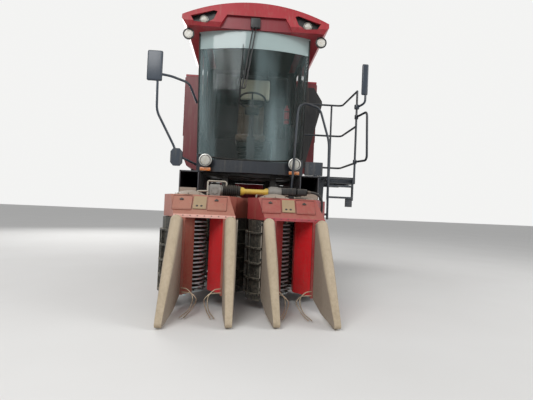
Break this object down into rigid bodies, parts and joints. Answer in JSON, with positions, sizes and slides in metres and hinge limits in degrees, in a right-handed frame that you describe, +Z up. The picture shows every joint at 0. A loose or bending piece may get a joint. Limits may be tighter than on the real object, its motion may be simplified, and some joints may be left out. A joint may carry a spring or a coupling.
{
  "type": "cotton_picker",
  "caption": "Self-propelled two-row cotton picker with lifting picking units, glazed cab, air ducts and a tipping basket",
  "frame": {"origin": "middle of the machine's footprint on the ground", "axes": "+X to the machine's right as seen by someone facing its front from ahead, +Y from the picking units back to the basket, +Z up"},
  "size_m": [2.965, 6.1598, 3.77],
  "materials": {
    "red_paint": "faded, dusty",
    "black_paint": "dusty, chipped",
    "cream_paint": "dusty",
    "beige_plastic": "scuffed",
    "steel": "worn bright",
    "chrome": "polished by the crop",
    "tyre_rubber": "dusty",
    "glass": "clear",
    "seat_cloth": "worn",
    "lamp_lens": "clear",
    "yellow_paint": "worn",
    "cast_iron": "oily"
  },
  "bodies": {
    "chassis": {"chassis_frame": "black_paint", "upper_frame": "black_paint", "front_axle": "black_paint", "rear_axle": "black_paint", "front_shields": "black_paint", "fuel_tank": "black_paint", "engine": "cast_iron", "engine_cowl": "red_paint", "rear_grille": "black_paint", "exhaust": "steel", "cab_frame": "black_paint", "cab_roof": "red_paint", "cab_glass": "glass", "seat": "seat_cloth", "steering_column": "black_paint", "console": "black_paint", "front_panel": "black_paint", "lamps": "lamp_lens", "wiper": "black_paint", "mirrors": "black_paint", "duct_left": "black_paint", "duct_right": "black_paint", "platform": "black_paint", "guard_rails": "black_paint"},
    "head": {"lift_frame": "black_paint", "cabinet_left": "red_paint", "cabinet_right": "red_paint", "stalk_lifters": "beige_plastic", "grid_bars": "chrome", "pressure_panels": "red_paint", "row_wires": "steel", "drive_line": "yellow_paint", "rear_shells": "black_paint"},
    "basket": {"basket_tub": "red_paint", "basket_fittings": "black_paint", "basket_screens": "steel"},
    "basket_lid": {"basket_lid": "red_paint"},
    "tip_barrels": {"tip_barrels": "black_paint"},
    "tip_rods": {"tip_rods": "chrome"},
    "lift_barrels": {"lift_barrels": "black_paint"},
    "lift_rods": {"lift_rods": "chrome"},
    "cab_door": {"cab_door": "black_paint"},
    "ladder": {"ladder": "black_paint"},
    "suction_door_left": {"suction_door_left": "black_paint"},
    "suction_door_right": {"suction_door_right": "black_paint"},
    "drum_front_left": {"drum_front_left": "steel"},
    "wheel_front_left": {"tyre_front_left": "tyre_rubber", "rim_front_left": "cream_paint"},
    "drum_front_right": {"drum_front_right": "steel"},
    "wheel_front_right": {"tyre_front_right": "tyre_rubber", "rim_front_right": "cream_paint"},
    "drum_rear_left": {"drum_rear_left": "steel"},
    "wheel_rear_left": {"tyre_rear_left": "tyre_rubber", "rim_rear_left": "cream_paint"},
    "drum_rear_right": {"drum_rear_right": "steel"},
    "wheel_rear_right": {"tyre_rear_right": "tyre_rubber", "rim_rear_right": "cream_paint"},
    "knuckle_left": {"knuckle_left": "black_paint"},
    "knuckle_right": {"knuckle_right": "black_paint"}
  },
  "joints": [
    {"name": "head_lift", "type": "hinge", "parent": "chassis", "child": "head", "pos_m": [-0.1375, -0.97, 0.98], "axis": [-1, 0, 0], "range_deg": [0, 14]},
    {"name": "lift_barrel_swing", "type": "hinge", "parent": "chassis", "child": "lift_barrels", "pos_m": [-0.1375, -0.86, 0.6], "axis": [-1, 0, 0], "range_deg": [0, 6.89]},
    {"name": "lift_rod_slide", "type": "slide", "parent": "lift_barrels", "child": "lift_rods", "axis": [0, -0.9138, 0.4061], "range_m": [0, 0.0711]},
    {"name": "basket_tip", "type": "hinge", "parent": "chassis", "child": "basket", "pos_m": [-1.1675, 1.86, 1.64], "axis": [0, -1, 0], "range_deg": [0, 60]},
    {"name": "tip_barrel_swing", "type": "hinge", "parent": "chassis", "child": "tip_barrels", "pos_m": [-0.1975, 1.86, 0.7], "axis": [0, -1, 0], "range_deg": [0, 4.96]},
    {"name": "tip_rod_slide", "type": "slide", "parent": "tip_barrels", "child": "tip_rods", "axis": [-0.2604, 0, 0.9655], "range_m": [0, 0.7252]},
    {"name": "basket_lid_hinge", "type": "hinge", "parent": "basket", "child": "basket_lid", "pos_m": [1.0585, 1.86, 3.342], "axis": [0, 1, 0], "range_deg": [0, 70]},
    {"name": "cab_door_hinge", "type": "hinge", "parent": "chassis", "child": "cab_door", "pos_m": [0.60049, -0.22, 1.49957], "axis": [0.0238, 0, 0.9997], "range_deg": [0, 85]},
    {"name": "ladder_hinge", "type": "hinge", "parent": "chassis", "child": "ladder", "pos_m": [1.145, -0.88, 1.5], "axis": [-1, 0, 0], "range_deg": [0, 95]},
    {"name": "steer_left", "type": "hinge", "parent": "chassis", "child": "knuckle_left", "pos_m": [-0.5775, 1.89, 0.43], "axis": [0, 0, 1], "range_deg": [-30, 30]},
    {"name": "steer_right", "type": "hinge", "parent": "chassis", "child": "knuckle_right", "pos_m": [0.3025, 1.89, 0.43], "axis": [0, 0, 1], "range_deg": [-30, 30]},
    {"name": "wheel_spin_front_left", "type": "hinge", "parent": "chassis", "child": "wheel_front_left", "pos_m": [-0.8375, -0.71, 0.575], "axis": [1, 0, 0], "continuous": true},
    {"name": "wheel_spin_rear_left", "type": "hinge", "parent": "knuckle_left", "child": "wheel_rear_left", "pos_m": [-0.7575, 1.89, 0.43], "axis": [1, 0, 0], "continuous": true},
    {"name": "drum_spin_front_left", "type": "hinge", "parent": "head", "child": "drum_front_left", "pos_m": [-0.7775, -2.13, 0.9], "axis": [0, 0, 1], "continuous": true},
    {"name": "drum_spin_rear_left", "type": "hinge", "parent": "head", "child": "drum_rear_left", "pos_m": [-0.3975, -1.72, 0.9], "axis": [0, 0, 1], "continuous": true},
    {"name": "suction_door_hinge_left", "type": "hinge", "parent": "head", "child": "suction_door_left", "pos_m": [-0.9019, -1.896, 0.9], "axis": [0, 0, -1], "range_deg": [0, 100]},
    {"name": "wheel_spin_front_right", "type": "hinge", "parent": "chassis", "child": "wheel_front_right", "pos_m": [0.5625, -0.71, 0.575], "axis": [1, 0, 0], "continuous": true},
    {"name": "wheel_spin_rear_right", "type": "hinge", "parent": "knuckle_right", "child": "wheel_rear_right", "pos_m": [0.4825, 1.89, 0.43], "axis": [1, 0, 0], "continuous": true},
    {"name": "drum_spin_front_right", "type": "hinge", "parent": "head", "child": "drum_front_right", "pos_m": [0.1225, -2.13, 0.9], "axis": [0, 0, 1], "continuous": true},
    {"name": "drum_spin_rear_right", "type": "hinge", "parent": "head", "child": "drum_rear_right", "pos_m": [0.5025, -1.72, 0.9], "axis": [0, 0, 1], "continuous": true},
    {"name": "suction_door_hinge_right", "type": "hinge", "parent": "head", "child": "suction_door_right", "pos_m": [-0.0019, -1.896, 0.9], "axis": [0, 0, -1], "range_deg": [0, 18]}
  ],
  "couplings": [
    {"joint": "steer_right", "follows": "steer_left", "ratio": 1},
    {"joint": "lift_barrel_swing", "follows": "head_lift", "ratio": 0.4847},
    {"joint": "lift_rod_slide", "follows": "head_lift", "m_per_rad": 0.28681},
    {"joint": "tip_barrel_swing", "follows": "basket_tip", "ratio": 0.08102},
    {"joint": "tip_rod_slide", "follows": "basket_tip", "m_per_rad": 0.69157}
  ]
}
